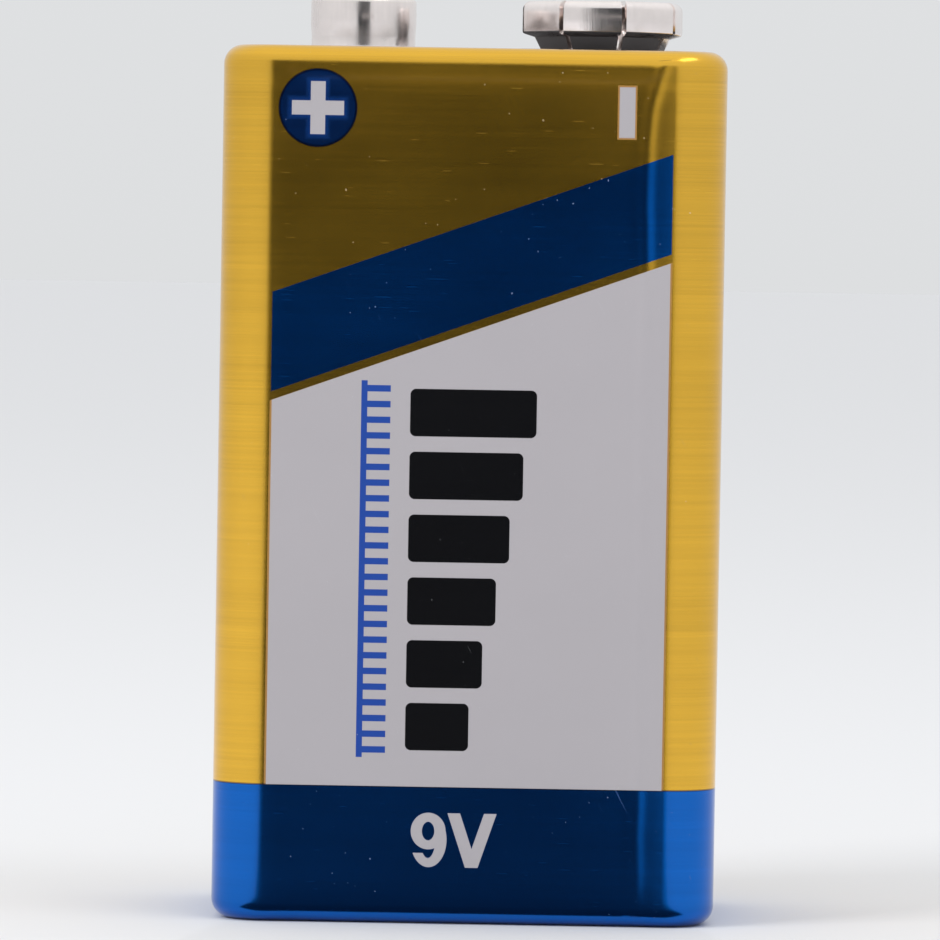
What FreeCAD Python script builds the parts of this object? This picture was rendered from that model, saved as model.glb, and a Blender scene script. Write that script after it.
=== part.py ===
import FreeCAD, Part
import math
import os
import Sketcher

# A nine volt battery, standing on its base. Lengths are in millimetres, +Z is up, the printed front
# faces -Y, the snap stud is on the -X side and the snap socket on the +X side. The origin is the
# middle of the underside.
#
# A printed steel jacket is folded round the whole battery and turned in over a terminal board at the
# top and a plate at the bottom. Six round cells stand inside it in two rows of three, every other one
# upside down, and thin strips join them in a chain from the stud to the socket.

SIZES = {
    # The steel jacket
    "case_width": 26.4,
    "case_depth": 16.9,
    "case_height": 45.8,
    "corner_round": 2.8,
    "jacket_wall": 0.25,
    "rim_bend": 1.0,
    "rim_reach": 1.8,
    "lip_corner_round": 1.4,
    "seam_width": 2.4,
    "seam_fold": 0.4,
    "seam_groove_width": 0.2,
    "seam_groove_depth": 0.1,
    "seam_clearance": 0.3,
    # The plates that close the jacket
    "plate_clearance": 0.1,
    "board_thickness": 1.4,
    "skirt_height": 2.0,
    "skirt_wall": 0.9,
    "base_thickness": 0.8,
    "pad_thickness": 0.4,
    "window_radius": 2.9,
    # The liner and the room that it leaves each cell
    "liner_clearance": 0.03,
    "liner_wall": 0.12,
    "cell_clearance": 0.03,
    # One cell
    "sleeve_wall": 0.08,
    "nub_radius": 1.9,
    "nub_height": 0.6,
    "crimp_width": 0.5,
    "seal_width": 0.55,
    "seal_drop": 0.1,
    "recess_depth": 0.9,
    "cap_proud": 0.25,
    # The strips that join the cells
    "strip_thickness": 0.15,
    "strip_width": 3.6,
    "lead_flat": 1.5,
    "lead_rise_run": 0.7,
    # Both snap terminals
    "terminal_spacing": 12.7,
    "terminal_shift": 0.3,
    "terminal_height": 2.7,
    "contact_gauge": 0.3,
    "contact_bevel": 0.12,
    # The stud
    "stud_head_radius": 2.8,
    "stud_neck_radius": 2.75,
    "stud_flange_radius": 3.5,
    "stud_neck_top": 1.1,
    "stud_neck_slope": 0.1,
    "stud_crown_round": 0.35,
    # The socket
    "socket_across_flats": 8.3,
    "socket_waist_across": 7.0,
    "socket_foot_across": 6.2,
    "socket_waist_height": 1.0,
    "socket_shoulder": 0.2,
    "socket_mouth_radius": 2.8,
    "socket_leg_depth": 1.3,
    "socket_crown_round": 0.45,
    "socket_lip_round": 0.15,
    "socket_set_down": 0.05,
    "socket_slit_width": 0.26,
    "socket_slit_start": 2.3,
    "socket_turn": 14.5,
    # The rivets
    "rivet_shank_radius": 1.3,
    "rivet_clearance": 0.05,
    "rivet_lower_radius": 2.1,
    "rivet_upper_radius": 1.9,
    "rivet_head_height": 0.4,
    "rivet_head_bevel": 0.2,
}

PETALS = 8
CORNERS_TO_FLATS = math.cos(math.pi / PETALS)

# Each cell in the order of the chain, from the stud to the socket: its column and its row, counted
# from the middle of the battery. The first stands with its nub up and every other one is turned over.
CHAIN = [(-1, 1), (-1, -1), (0, -1), (0, 1), (1, 1), (1, -1)]

doc = FreeCAD.newDocument("NineVoltBattery")
sheet = doc.addObject("Spreadsheet::Sheet", "Sizes")


def fill_sheet():
    """Write every size into the sheet, with its name beside it as a note and as its alias."""
    for row, (name, value) in enumerate(SIZES.items(), start=1):
        sheet.set(f"A{row}", name)
        sheet.set(f"B{row}", str(value))
        sheet.setAlias(f"B{row}", name)
    doc.recompute()


class Size:
    """A length worked out from the sheet: its value now, and the expression that keeps it bound."""

    def __init__(self, value, words):
        self.value = value
        self.words = words

    def __float__(self):
        return float(self.value)

    def __add__(self, other):
        other = as_size(other)
        return Size(self.value + other.value, f"({self.words} + {other.words})")

    def __sub__(self, other):
        other = as_size(other)
        return Size(self.value - other.value, f"({self.words} - {other.words})")

    def __mul__(self, other):
        other = as_size(other)
        return Size(self.value * other.value, f"({self.words} * {other.words})")

    def __truediv__(self, other):
        other = as_size(other)
        return Size(self.value / other.value, f"({self.words} / {other.words})")

    def __neg__(self):
        return Size(-self.value, f"(0 - {self.words})")


def as_size(number):
    """Take a size as it is, and make one from a plain number."""
    if isinstance(number, Size):
        return number
    return Size(number, repr(number))


def least(first, second):
    """The smaller of two sizes."""
    return Size(min(first.value, second.value), f"min({first.words}; {second.words})")


def size(name):
    """A driving size, read from the sheet."""
    return Size(float(sheet.get(name)), f"Sizes.{name}")


def bind(thing, prop, length):
    """Tie a property to a size."""
    thing.setExpression(prop, as_size(length).words)


# Bodies, sketches and features


def new_body(name, x=0, y=0, z=0):
    """An empty body, named as its piece, at a place worked out from the sheet."""
    body = doc.addObject("PartDesign::Body", name)
    body.Label = name
    bind(body, "Placement.Base.x", x)
    bind(body, "Placement.Base.y", y)
    bind(body, "Placement.Base.z", z)
    return body


def origin_feature(body, role):
    """One of a body's own planes or axes."""
    return next(item for item in body.Origin.OriginFeatures if item.Role == role)


def new_sketch(body, name, role, height=0):
    """A sketch on one of the body's planes, lifted off it by a height."""
    sketch = body.newObject("Sketcher::SketchObject", name)
    sketch.AttachmentSupport = [(origin_feature(body, role), "")]
    sketch.MapMode = "FlatFace"
    bind(sketch, "AttachmentOffset.Base.z", height)
    return sketch


def pin_point(sketch, geometry, point, x, y, label):
    """Hold one point of a sketch at x and y, each bound to the sheet or on an axis."""
    for axis, kind, length in ((-2, "DistanceX", as_size(x)), (-1, "DistanceY", as_size(y))):
        if abs(length.value) < 1e-9:
            sketch.addConstraint(Sketcher.Constraint("PointOnObject", geometry, point, axis))
            continue
        rule = Sketcher.Constraint(kind, -1, 1, geometry, point, length.value)
        index = sketch.addConstraint(rule)
        name = f"{label}_{kind}"
        sketch.renameConstraint(index, name)
        bind(sketch, f"Constraints.{name}", length)


def rounded_corner(before, place, after, radius):
    """The arc that rounds a corner, its two ends on the sides, and which end comes first."""
    towards_before = (before - place).normalize()
    towards_after = (after - place).normalize()
    half = towards_before.getAngle(towards_after) / 2
    setback = radius / math.tan(half)
    middle = (towards_before + towards_after).normalize()
    centre = place + middle * (radius / math.sin(half))
    enter = place + towards_before * setback
    leave = place + towards_after * setback
    turns_left = (place - before).cross(after - place).z > 0
    first, last = (enter, leave) if turns_left else (leave, enter)
    start = math.atan2(first.y - centre.y, first.x - centre.x)
    end = math.atan2(last.y - centre.y, last.x - centre.x)
    circle = Part.Circle(centre, FreeCAD.Vector(0, 0, 1), radius)
    return Part.ArcOfCircle(circle, start, end), enter, leave, turns_left


def draw_outline(sketch, corners, label="corner"):
    """Draw a closed outline through corners (x, y) or (x, y, radius), fully bound to the sheet."""
    places = [FreeCAD.Vector(float(as_size(c[0])), float(as_size(c[1])), 0) for c in corners]
    count = len(corners)
    starts, ends, arcs = list(places), list(places), {}
    for number, corner in enumerate(corners):
        if len(corner) == 2:
            continue
        before, after = places[number - 1], places[(number + 1) % count]
        arc, enter, leave, turns_left = rounded_corner(before, places[number], after, float(corner[2]))
        ends[number], starts[number] = enter, leave
        arcs[number] = (sketch.addGeometry(arc, False), turns_left)
    sides = []
    for number in range(count):
        side = Part.LineSegment(starts[number], ends[(number + 1) % count])
        sides.append(sketch.addGeometry(side, False))
    for number, corner in enumerate(corners):
        into, out = sides[number - 1], sides[number]
        tag = f"{label}{number}"
        if number not in arcs:
            sketch.addConstraint(Sketcher.Constraint("Coincident", into, 2, out, 1))
            pin_point(sketch, out, 1, corner[0], corner[1], tag)
            continue
        arc, turns_left = arcs[number]
        first, last = (1, 2) if turns_left else (2, 1)
        sketch.addConstraint(Sketcher.Constraint("Tangent", into, 2, arc, first))
        sketch.addConstraint(Sketcher.Constraint("Tangent", arc, last, out, 1))
        index = sketch.addConstraint(Sketcher.Constraint("Radius", arc, float(corner[2])))
        sketch.renameConstraint(index, f"{tag}_Radius")
        bind(sketch, f"Constraints.{tag}_Radius", corner[2])
        tip = sketch.addGeometry(Part.Point(places[number]), True)
        sketch.addConstraint(Sketcher.Constraint("PointOnObject", tip, 1, into))
        sketch.addConstraint(Sketcher.Constraint("PointOnObject", tip, 1, out))
        pin_point(sketch, tip, 1, corner[0], corner[1], tag)


def draw_circle(sketch, x, y, radius, label="circle"):
    """Draw a circle, its centre and radius bound to the sheet."""
    x, y, radius = as_size(x), as_size(y), as_size(radius)
    centre = FreeCAD.Vector(x.value, y.value, 0)
    geometry = sketch.addGeometry(Part.Circle(centre, FreeCAD.Vector(0, 0, 1), radius.value), False)
    pin_point(sketch, geometry, 3, x, y, label)
    index = sketch.addConstraint(Sketcher.Constraint("Radius", geometry, radius.value))
    sketch.renameConstraint(index, f"{label}_Radius")
    bind(sketch, f"Constraints.{label}_Radius", radius)


def rectangle(left, right, low, high, radius=None):
    """The four corners of a rectangle, rounded where a radius is given."""
    corners = [(left, low), (right, low), (right, high), (left, high)]
    if radius is None:
        return corners
    return [(x, y, radius) for x, y in corners]


def centred_rectangle(half_width, half_depth, radius=None):
    """The corners of a rectangle about the middle."""
    return rectangle(-half_width, half_width, -half_depth, half_depth, radius)


def finish_feature(body, feature, adds, start=None):
    """Recompute a feature and make sure that it added material, or took some away."""
    base = feature.BaseFeature or start
    before = base.Shape.Volume if base else 0.0
    body.Tip = feature
    doc.recompute()
    change = feature.Shape.Volume - before
    if feature.Shape.isNull() or (change <= 0) == adds:
        raise RuntimeError(f"{feature.Name} changed nothing")
    return feature


def pad(body, name, sketch, length, midplane=False):
    """Raise a sketch by a length, to both sides if midplane."""
    feature = body.newObject("PartDesign::Pad", name)
    feature.Profile = sketch
    feature.Midplane = midplane
    bind(feature, "Length", length)
    return finish_feature(body, feature, adds=True)


def pocket(body, name, sketch, depth):
    """Cut a sketch away over a depth, upwards from the sketch."""
    feature = body.newObject("PartDesign::Pocket", name)
    feature.Profile = sketch
    feature.Reversed = True
    bind(feature, "Length", depth)
    return finish_feature(body, feature, adds=False)


def revolve(body, name, sketch):
    """Turn a section about the upright axis."""
    feature = body.newObject("PartDesign::Revolution", name)
    feature.Profile = sketch
    feature.ReferenceAxis = (sketch, ["V_Axis"])
    feature.Angle = 360
    return finish_feature(body, feature, adds=True)


def dress_edges(body, name, kind, size_name, length, wanted):
    """Round or bevel the edges for which wanted(edge) is true."""
    base = body.Tip
    names = [f"Edge{i}" for i, edge in enumerate(base.Shape.Edges, start=1) if wanted(edge)]
    if not names:
        raise RuntimeError(f"{name} found no edges")
    feature = body.newObject(kind, name)
    feature.Base = (base, names)
    bind(feature, size_name, length)
    return finish_feature(body, feature, adds=False, start=base)


def round_edges(body, name, radius, wanted):
    return dress_edges(body, name, "PartDesign::Fillet", "Radius", radius, wanted)


def bevel_edges(body, name, length, wanted):
    return dress_edges(body, name, "PartDesign::Chamfer", "Size", length, wanted)


def lies_at_height(edge, height):
    """Whether a whole edge lies level at a height."""
    box = edge.BoundBox
    return abs(box.ZMin - float(height)) < 1e-4 and abs(box.ZMax - float(height)) < 1e-4


# Levels and places that several pieces share


def base_level():
    return size("jacket_wall")


def lower_pad_level():
    return base_level() + size("base_thickness")


def lower_strip_level():
    return lower_pad_level() + size("pad_thickness")


def cell_foot_level():
    return lower_strip_level() + size("strip_thickness")


def board_top_level():
    return size("case_height") - size("jacket_wall")


def terminal_x(side):
    """Where a terminal stands along the battery: side -1 for the stud, 1 for the socket."""
    return size("terminal_shift") + size("terminal_spacing") / 2 * side


def board_underside_level():
    return board_top_level() - size("board_thickness")


def upper_pad_level():
    return board_underside_level() - size("skirt_height") - size("pad_thickness")


def cell_head_level():
    return upper_pad_level() - size("strip_thickness")


def cell_length():
    return cell_head_level() - cell_foot_level()


def cavity_half(side):
    """Half the inside of the jacket across its width or its depth."""
    return size(f"case_{side}") / 2 - size("jacket_wall")


def room_half(side):
    """Half the inside of the liner."""
    return cavity_half(side) - size("liner_clearance") - size("liner_wall")


def slot_radius():
    """The room of one cell: two fit across the depth and three across the width."""
    return least(room_half("depth") / 2, room_half("width") / 3)


def column_pitch():
    return room_half("width") - slot_radius()


def row_offset():
    return room_half("depth") - slot_radius()


def can_radius():
    return slot_radius() - size("cell_clearance") - size("sleeve_wall")


def seam_x():
    """The seam lies over the valley between two cells of the rear row."""
    return column_pitch() / 2


def plate_outline():
    """The outline of a plate that drops into the jacket."""
    gap = size("plate_clearance")
    corner = size("corner_round") - size("jacket_wall") - gap
    return centred_rectangle(cavity_half("width") - gap, cavity_half("depth") - gap, corner)


def bend_flat():
    """The bevel that just touches the round inside of a bend in the sheet."""
    return (size("rim_bend") - size("jacket_wall")) * (2 - math.sqrt(2))


# The jacket and what closes it


def block(body, name, outline_corners, height):
    """An upright block over an outline."""
    outline = new_sketch(body, f"{name}_outline", "XY_Plane")
    draw_outline(outline, outline_corners)
    return pad(body, f"{name}_block", outline, height)


def make_outer_jacket():
    """Printed steel sheet folded round the battery, turned in at both ends, with a lock seam behind."""
    half_width, half_depth = size("case_width") / 2, size("case_depth") / 2
    wall, bend, reach = size("jacket_wall"), size("rim_bend"), size("rim_reach")
    top, corner = size("case_height"), size("corner_round")
    body = new_body("outer_jacket")
    block(body, "jacket", centred_rectangle(half_width, half_depth, corner), top)
    round_edges(
        body, "jacket_bends", bend,
        lambda edge: lies_at_height(edge, 0) or lies_at_height(edge, top)
    )

    # The room inside the sheet, with a flat that touches the inside of each bend
    room = new_body("jacket_room", z=wall)
    room_height = top - wall * 2
    inside = centred_rectangle(half_width - wall, half_depth - wall, corner - wall)
    block(room, "jacket_room", inside, room_height)
    bevel_edges(
        room, "jacket_room_bends", bend_flat(),
        lambda edge: lies_at_height(edge, 0) or lies_at_height(edge, room_height)
    )
    hollow = body.newObject("PartDesign::Boolean", "jacket_hollow")
    hollow.Type = "Cut"
    hollow.setObjects([room])
    finish_feature(body, hollow, adds=False)

    # Both ends stay open between the turned-in lips
    mouth = new_sketch(body, "jacket_mouth_outline", "XY_Plane")
    mouth_round = size("lip_corner_round")
    draw_outline(mouth, centred_rectangle(half_width - reach, half_depth - reach, mouth_round))
    pocket(body, "jacket_mouths", mouth, top)

    # The two ends of the sheet hook together and are pressed flat, to the inside of the rear wall
    seam_half = size("seam_width") / 2
    fold = new_sketch(body, "seam_fold_outline", "XY_Plane", lower_strip_level())
    overlap = wall / 2
    draw_outline(fold, rectangle(
        seam_x() - seam_half,
        seam_x() + seam_half,
        half_depth - wall - size("seam_fold"),
        half_depth - overlap,
    ))
    pad(body, "seam_fold_layers", fold, upper_pad_level() - lower_strip_level())

    groove = new_sketch(body, "seam_groove_outline", "XY_Plane", bend)
    groove_half = size("seam_groove_width") / 2
    groove_depth = size("seam_groove_depth")
    draw_outline(groove, rectangle(
        seam_x() - seam_half - groove_half,
        seam_x() - seam_half + groove_half,
        half_depth - groove_depth,
        half_depth + groove_depth,
    ))
    pocket(body, "seam_groove", groove, top - bend * 2)
    return body


def make_base_plate():
    """The plate inside the bottom lip, bevelled below to lie in the bend of the sheet."""
    body = new_body("base_plate", z=base_level())
    block(body, "base", plate_outline(), size("base_thickness"))
    bevel_edges(body, "base_edge", bend_flat(), lambda edge: lies_at_height(edge, 0))
    return body


def make_terminal_board():
    """The moulded board under the top lip, with a skirt that stands on the pad over the cells."""
    height = size("board_thickness") + size("skirt_height")
    body = new_body("terminal_board", z=board_top_level() - height)
    block(body, "board", plate_outline(), height)
    bevel_edges(body, "board_edge", bend_flat(), lambda edge: lies_at_height(edge, height))

    hollow = new_sketch(body, "board_hollow_outline", "XY_Plane")
    inset = size("plate_clearance") + size("skirt_wall")
    corner = size("corner_round") - size("jacket_wall") - inset
    draw_outline(hollow, centred_rectangle(
        cavity_half("width") - inset, cavity_half("depth") - inset, corner
    ))
    pocket(body, "board_hollow", hollow, size("skirt_height"))

    holes = new_sketch(body, "board_holes_outline", "XY_Plane", size("skirt_height"))
    radius = size("rivet_shank_radius") + size("rivet_clearance")
    for label, side in (("stud_hole", -1), ("socket_hole", 1)):
        draw_circle(holes, terminal_x(side), 0, radius, label)
    pocket(body, "board_holes", holes, size("board_thickness"))
    return body


def make_pad(name, level, with_windows):
    """A card pad that keeps the strips off the plate or the board next to them."""
    body = new_body(name, z=level)
    block(body, name, plate_outline(), size("pad_thickness"))
    if with_windows:
        windows = new_sketch(body, f"{name}_windows_outline", "XY_Plane")
        for label, (column, row) in (("first", CHAIN[0]), ("last", CHAIN[-1])):
            x, y = column_pitch() * column, row_offset() * row
            draw_circle(windows, x, y, size("window_radius"), label)
        pocket(body, f"{name}_windows", windows, size("pad_thickness"))
    return body


def make_cell_liner():
    """Insulating sheet wrapped round the six cells, its two ends stopping either side of the seam."""
    body = new_body("cell_liner", z=lower_strip_level())
    height = upper_pad_level() - lower_strip_level()
    gap, wall = size("liner_clearance"), size("liner_wall")
    corner = size("corner_round") - size("jacket_wall") - gap
    outline = new_sketch(body, "liner_outline", "XY_Plane")
    draw_outline(outline, centred_rectangle(
        cavity_half("width") - gap, cavity_half("depth") - gap, corner
    ), "outer")
    draw_outline(outline, centred_rectangle(
        room_half("width"), room_half("depth"), corner - wall
    ), "inner")
    pad(body, "liner_sheet", outline, height)

    opening = new_sketch(body, "liner_opening_outline", "XY_Plane")
    half = size("seam_width") / 2 + size("seam_clearance")
    draw_outline(opening, rectangle(
        seam_x() - half, seam_x() + half, room_half("depth") - wall, cavity_half("depth")
    ))
    pocket(body, "liner_opening", opening, height)
    return body


# The cells


def turned_piece(name, corners, x, y, z, upside_down=False):
    """A round piece, turned from a section of radii and heights."""
    body = new_body(name, x, y, z)
    if upside_down:
        body.Placement.Rotation = FreeCAD.Rotation(FreeCAD.Vector(1, 0, 0), 180)
    section = new_sketch(body, f"{name}_section", "XZ_Plane")
    draw_outline(section, corners)
    revolve(body, f"{name}_turned", section)
    return body


def crimp_radius():
    """The inner radius of the can's crimped edge."""
    return can_radius() - size("crimp_width")


def cap_radius():
    return crimp_radius() - size("seal_width")


def can_section():
    """A sealed steel can: a nub above, and a crimped edge round a shallow recess below."""
    shoulder = cell_length() - size("nub_height")
    return [
        (0, size("recess_depth")),
        (crimp_radius(), size("recess_depth")),
        (crimp_radius(), size("cap_proud")),
        (can_radius(), size("cap_proud")),
        (can_radius(), shoulder),
        (size("nub_radius"), shoulder),
        (size("nub_radius"), cell_length()),
        (0, cell_length()),
    ]


def cap_section():
    """The flat end cap in the middle of the seal."""
    return rectangle(0, cap_radius(), 0, size("recess_depth"))


def seal_section():
    """The moulded ring between the cap and the crimped edge."""
    low = size("cap_proud") + size("seal_drop")
    return rectangle(cap_radius(), crimp_radius(), low, size("recess_depth"))


def sleeve_section():
    """Shrunk film round the side of the can."""
    outer = can_radius() + size("sleeve_wall")
    return rectangle(can_radius(), outer, size("cap_proud"), cell_length() - size("nub_height"))


def make_cells():
    """Six cells, each a can, an end cap, a seal and a sleeve, the second, fourth and sixth turned over."""
    sections = {
        "can": can_section(),
        "cap": cap_section(),
        "seal": seal_section(),
        "sleeve": sleeve_section(),
    }
    pieces = []
    for number, (column, row) in enumerate(CHAIN, start=1):
        upside_down = number % 2 == 0
        x, y = column_pitch() * column, row_offset() * row
        z = cell_head_level() if upside_down else cell_foot_level()
        for kind, corners in sections.items():
            pieces.append(turned_piece(f"cell_{number}_{kind}", corners, x, y, z, upside_down))
    return pieces


# The strips


def make_link(number):
    """A nickel strip welded to two neighbouring cells of the chain."""
    (column_a, row_a), (column_b, row_b) = CHAIN[number - 1], CHAIN[number]
    x = column_pitch() * ((column_a + column_b) / 2)
    y = row_offset() * ((row_a + row_b) / 2)
    level = lower_strip_level() if number % 2 else cell_head_level()
    body = new_body(f"link_{number}", x, y, level)
    half_width = size("strip_width") / 2
    along_x = row_a == row_b
    half_length = (column_pitch() / 2 if along_x else row_offset()) + half_width
    if not along_x:
        body.Placement.Rotation = FreeCAD.Rotation(FreeCAD.Vector(0, 0, 1), 90)
    outline = centred_rectangle(half_length, half_width)
    block(body, f"link_{number}", outline, size("strip_thickness"))
    return body


def make_lead(name, cell, side):
    """A strip from an end cell up to the rivet under the board, bent twice and pierced at the rivet."""
    column, row = cell
    start_x, start_y = column_pitch() * column, row_offset() * row
    body = new_body(name, start_x, start_y, cell_head_level())
    run_x = terminal_x(side) - start_x
    run_y = -start_y
    reach = Size(
        math.hypot(run_x.value, run_y.value), f"sqrt({run_x.words} ^ 2 + {run_y.words} ^ 2)"
    )
    body.Placement.Rotation = FreeCAD.Rotation(FreeCAD.Vector(0, 0, 1), 0)
    bind(body, "Placement.Rotation.Angle", Size(0, f"atan2({run_y.words}; {run_x.words})"))

    thickness, half_width = size("strip_thickness"), size("strip_width") / 2
    rise = board_underside_level() - cell_head_level()
    flat, run = size("lead_flat"), size("lead_rise_run")
    profile = new_sketch(body, f"{name}_profile", "XZ_Plane")
    draw_outline(profile, [
        (-half_width, 0),
        (flat, 0),
        (flat + run, rise - thickness),
        (reach + half_width, rise - thickness),
        (reach + half_width, rise),
        (flat + run - thickness, rise),
        (flat - thickness, thickness),
        (-half_width, thickness),
    ])
    pad(body, f"{name}_strip", profile, size("strip_width"), midplane=True)

    hole = new_sketch(body, f"{name}_hole_outline", "XY_Plane", rise - thickness)
    draw_circle(hole, reach, 0, size("rivet_shank_radius") + size("rivet_clearance"))
    pocket(body, f"{name}_hole", hole, thickness)
    return body


# The terminals


def make_positive_stud():
    """The snap stud, drawn from thin sheet: a folded flange, a neck and a slightly wider head."""
    gauge, bevel = size("contact_gauge"), size("contact_bevel")
    foot = gauge * 2
    top = size("terminal_height") + size("jacket_wall")
    head, neck = size("stud_head_radius"), size("stud_neck_radius")
    hole = size("rivet_shank_radius") + size("rivet_clearance")
    crown = size("stud_crown_round")
    neck_top = size("stud_neck_top")
    head_low = neck_top + size("stud_neck_slope")
    flange = size("stud_flange_radius")
    inside = neck - gauge
    return turned_piece("positive_stud", [
        (hole, 0),
        (flange, 0),
        (flange, foot - bevel),
        (flange - bevel, foot),
        (neck, foot),
        (neck, neck_top),
        (head, head_low),
        (head, top, crown),
        (0, top),
        (0, top - gauge),
        (inside - gauge, top - gauge),
        (inside, top - gauge * 2),
        (inside, foot),
        (hole, foot),
    ], terminal_x(-1), 0, board_top_level())


def octagon(across_flats):
    """The corners of an octagon, the first on the X axis."""
    reach = across_flats / (2 * CORNERS_TO_FLATS)
    corners = []
    for step in range(PETALS):
        angle = 2 * math.pi * step / PETALS
        corners.append((reach * round(math.cos(angle), 9), reach * round(math.sin(angle), 9)))
    return corners


def faceted(body, name, kind, stages):
    """A faceted form through octagons, each given by its height and its width across flats."""
    sketches = []
    for number, (height, across) in enumerate(stages):
        sketch = new_sketch(body, f"{name}_{number}", "XY_Plane", height)
        draw_outline(sketch, octagon(across))
        sketches.append(sketch)
    feature = body.newObject(kind, name)
    feature.Profile = sketches[0]
    feature.Sections = sketches[1:]
    feature.Ruled = True
    return finish_feature(body, feature, adds=kind.endswith("AdditiveLoft"))


def make_negative_socket():
    """The snap socket: eight sprung petals on one foot, each bent out, up and over into the mouth."""
    body = new_body("negative_socket", terminal_x(1), 0, board_top_level())
    body.Placement.Rotation = FreeCAD.Rotation(FreeCAD.Vector(0, 0, 1), 0)
    bind(body, "Placement.Rotation.Angle", size("socket_turn"))
    gauge = size("contact_gauge")
    top = size("terminal_height") + size("jacket_wall") - size("socket_set_down")
    foot, waist = size("socket_foot_across"), size("socket_waist_across")
    crown = size("socket_across_flats")
    waist_height = size("socket_waist_height")
    shoulder_height = waist_height + size("socket_shoulder")

    faceted(body, "socket_outside", "PartDesign::AdditiveLoft", [
        (0, foot), (waist_height, waist), (shoulder_height, crown), (top, crown)
    ])
    crown_round = size("socket_crown_round")
    round_edges(body, "socket_crown", crown_round, lambda edge: lies_at_height(edge, top))
    faceted(body, "socket_inside", "PartDesign::SubtractiveLoft", [
        (gauge, foot - gauge * 2),
        (waist_height, waist - gauge * 2),
        (shoulder_height, crown - gauge * 2),
        (top - gauge, crown - gauge * 2),
    ])

    mouth = new_sketch(body, "socket_mouth_outline", "XY_Plane", top - gauge)
    draw_circle(mouth, 0, 0, size("socket_mouth_radius"))
    pocket(body, "socket_mouth", mouth, gauge)
    lip_round, leg_depth = size("socket_lip_round"), size("socket_leg_depth")
    legs = new_sketch(body, "socket_legs_outline", "XY_Plane", top - leg_depth)
    draw_circle(legs, 0, 0, size("socket_mouth_radius"), "inner")
    draw_circle(legs, 0, 0, size("socket_mouth_radius") + gauge, "outer")
    pad(body, "socket_legs", legs, leg_depth - lip_round)
    round_edges(
        body, "socket_lip", lip_round,
        lambda edge: lies_at_height(edge, top) and edge.Curve.TypeId == "Part::GeomCircle"
    )

    hole = new_sketch(body, "socket_hole_outline", "XY_Plane")
    draw_circle(hole, 0, 0, size("rivet_shank_radius") + size("rivet_clearance"))
    pocket(body, "socket_hole", hole, gauge)

    slit = new_sketch(body, "socket_slit_outline", "XY_Plane", gauge)
    half = size("socket_slit_width") / 2
    draw_outline(slit, rectangle(size("socket_slit_start"), crown, -half, half))
    cut = pocket(body, "socket_slit", slit, top)
    slits = body.newObject("PartDesign::PolarPattern", "socket_slits")
    slits.Originals = [cut]
    slits.Axis = (origin_feature(body, "Z_Axis"), [""])
    slits.Angle = 360
    slits.Occurrences = PETALS
    finish_feature(body, slits, adds=False, start=cut)
    return body


def make_rivet(name, side, foot_layers):
    """A rivet through a lead, the board and a terminal's foot, with a head at each end."""
    shank, bevel = size("rivet_shank_radius"), size("rivet_head_bevel")
    head = size("rivet_head_height")
    lower, upper = size("rivet_lower_radius"), size("rivet_upper_radius")
    low = board_underside_level() - size("strip_thickness") - head
    grip_top = board_top_level() + size("contact_gauge") * foot_layers - low
    return turned_piece(name, [
        (0, 0),
        (lower - bevel, 0),
        (lower, bevel),
        (lower, head),
        (shank, head),
        (shank, grip_top),
        (upper, grip_top),
        (upper, grip_top + head - bevel),
        (upper - bevel, grip_top + head),
        (0, grip_top + head),
    ], terminal_x(side), 0, low)


def make_pieces():
    """Every piece of the battery, from the jacket inwards."""
    pieces = [
        make_outer_jacket(),
        make_base_plate(),
        make_terminal_board(),
        make_pad("top_insulator", upper_pad_level(), with_windows=True),
        make_pad("bottom_insulator", lower_pad_level(), with_windows=False),
        make_cell_liner(),
    ]
    pieces += make_cells()
    pieces += [make_link(number) for number in range(1, len(CHAIN))]
    pieces += [
        make_lead("positive_lead", CHAIN[0], -1),
        make_lead("negative_lead", CHAIN[-1], 1),
        make_positive_stud(),
        make_negative_socket(),
        make_rivet("positive_rivet", -1, 2),
        make_rivet("negative_rivet", 1, 1),
    ]
    return pieces


def check_everything(pieces):
    """Stop before anything is written if a feature failed or a piece is not one sound solid."""
    for item in doc.Objects:
        if "Invalid" in item.State or "Error" in item.State:
            raise RuntimeError(f"{item.Name} failed: {item.State}")
    for piece in pieces:
        shape = piece.Shape
        if shape.isNull() or not shape.isValid():
            raise RuntimeError(f"{piece.Label} is not a valid shape")
        if len(shape.Solids) != 1:
            raise RuntimeError(f"{piece.Label} has {len(shape.Solids)} solids")


def write_pieces(pieces):
    """Write each piece to a file named after it."""
    os.makedirs("parts", exist_ok=True)
    for piece in pieces:
        piece.Shape.exportStep(f"parts/{piece.Label}.step")
        box = piece.Shape.BoundBox
        print(
            f"{piece.Label}: {piece.Shape.Volume:.2f} mm3, "
            f"z {box.ZMin:.2f} to {box.ZMax:.2f}, x {box.XMin:.2f} to {box.XMax:.2f}"
        )


fill_sheet()
battery = make_pieces()
doc.recompute()
check_everything(battery)
write_pieces(battery)
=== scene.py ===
# %% [markdown]
# # A nine volt battery
#
# The packed model is loaded first and stays fixed. Blender gets every length in metres, in that
# model's frame, and a size written in millimetres is multiplied by MM where it is used. The
# battery stands on its base at the origin, +Z is up and the printed front looks along -Y.
#
# The plan: read the frame, learn a short way to write shader maths, make each finish, dress the
# solids, model the pieces whose curves need more care than the solid model gives, then light it.

# %% Load the frame
import math
import bmesh
import bpy
from mathutils import Matrix, Vector, noise


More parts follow.
